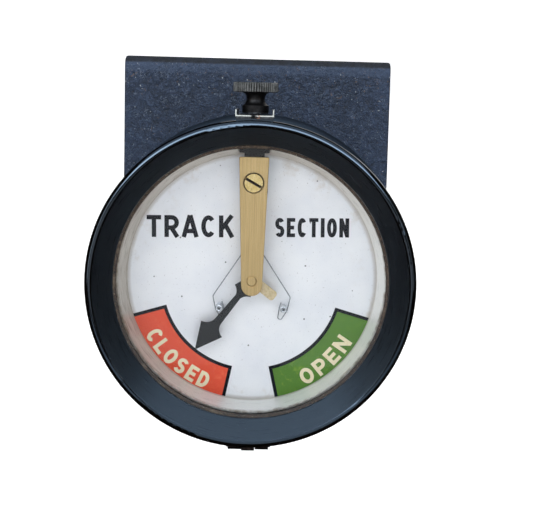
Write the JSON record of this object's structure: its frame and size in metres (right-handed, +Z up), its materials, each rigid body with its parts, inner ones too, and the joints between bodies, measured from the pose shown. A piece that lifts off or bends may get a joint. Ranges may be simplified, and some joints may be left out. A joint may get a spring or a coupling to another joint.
{
  "type": "railway lever indicator",
  "caption": "Round glazed two-position electromagnetic indicator with a swinging pointer, hinged bezel and knurled thumbscrew on a sheet-steel case with rear fixing studs.",
  "frame": {"origin": "centre of the four fixing studs on the back face of the case", "axes": "+Z up, the dial faces -Y, +Y along the fixing studs away from the case"},
  "size_m": [0.1552, 0.1222, 0.1852],
  "materials": {
    "case_black": "worn black japanning",
    "bezel_black": "glossy black enamel",
    "worn_steel": "worn and rust-flecked",
    "zinc_steel": "satin",
    "gunmetal": "dark oxidised, knurled",
    "spring_steel": "drawn wire",
    "soft_iron": "machined",
    "brass": "brushed and lightly tarnished",
    "clear_glass": "clear",
    "putty": "aged putty",
    "ebonite": "polished ebonite",
    "winding_cotton": "cotton-covered wire",
    "dial_white": "satin enamel",
    "reflector": "satin",
    "pointer_black": "satin black"
  },
  "bodies": {
    "case": {"back_plate": "case_black", "back_screws": "zinc_steel", "bobbin_left": "ebonite", "bobbin_right": "ebonite", "bracket_screws": "zinc_steel", "bridge": "brass", "bridge_bracket": "pointer_black", "bridge_screw": "brass", "cable_bush": "ebonite", "case_pillars": "brass", "case_shell": "case_black", "coil_cores": "soft_iron", "corner_blocks": "brass", "dial_pillars": "brass", "dial_plate": "dial_white", "dial_screws": "zinc_steel", "drum": "case_black", "drum_rivets": "case_black", "fixing_studs": "zinc_steel", "front_bearing": "brass", "hinge_leaf_fixed": "case_black", "hinge_pin": "zinc_steel", "magnet_spacers": "brass", "movement_plate": "zinc_steel", "movement_screws": "zinc_steel", "pole_shoe_left": "soft_iron", "pole_shoe_right": "soft_iron", "rear_bearing": "brass", "reflector_ring": "reflector", "spring_anchor": "brass", "stop_posts": "worn_steel", "stop_spring_left": "spring_steel", "stop_spring_right": "spring_steel", "terminal_block": "ebonite", "terminal_nuts": "brass", "terminal_studs": "brass", "terminal_washers": "brass", "thumbscrew_boss": "worn_steel", "winding_left": "winding_cotton", "winding_right": "winding_cotton", "yoke": "soft_iron"},
    "thumbscrew_washer": {"thumbscrew_washer": "zinc_steel"},
    "thumbscrew": {"thumbscrew": "gunmetal"},
    "bezel": {"bezel_ring": "bezel_black", "glass": "clear_glass", "glass_putty": "putty", "glass_clip_ring": "zinc_steel", "bezel_hasp": "worn_steel", "hasp_rivets": "worn_steel", "hinge_leaf_moving": "worn_steel"},
    "movement": {"spindle": "spring_steel", "armature": "soft_iron", "balance_arm": "brass", "collet": "brass", "pointer": "pointer_black", "counterweight": "brass", "pointer_nut": "brass"}
  },
  "joints": [
    {"name": "pointer_swing", "type": "hinge", "parent": "case", "child": "movement", "pos_m": [0, -0.0854, -0.03], "axis": [0, -1, 0], "range_deg": [0, 75.2]},
    {"name": "bezel_hinge", "type": "hinge", "parent": "case", "child": "bezel", "pos_m": [0, -0.094, -0.1082], "axis": [1, 0, 0], "range_deg": [0, 95]},
    {"name": "thumbscrew_lift", "type": "slide", "parent": "case", "child": "thumbscrew_washer", "axis": [0, 0, 1], "range_m": [0, 0.004]},
    {"name": "thumbscrew_turn", "type": "hinge", "parent": "thumbscrew_washer", "child": "thumbscrew", "pos_m": [0, -0.0895, 0.049], "axis": [0, 0, 1], "range_deg": [0, 1801]}
  ],
  "couplings": [
    {"joint": "thumbscrew_turn", "follows": "thumbscrew_lift", "rad_per_m": 7854}
  ]
}
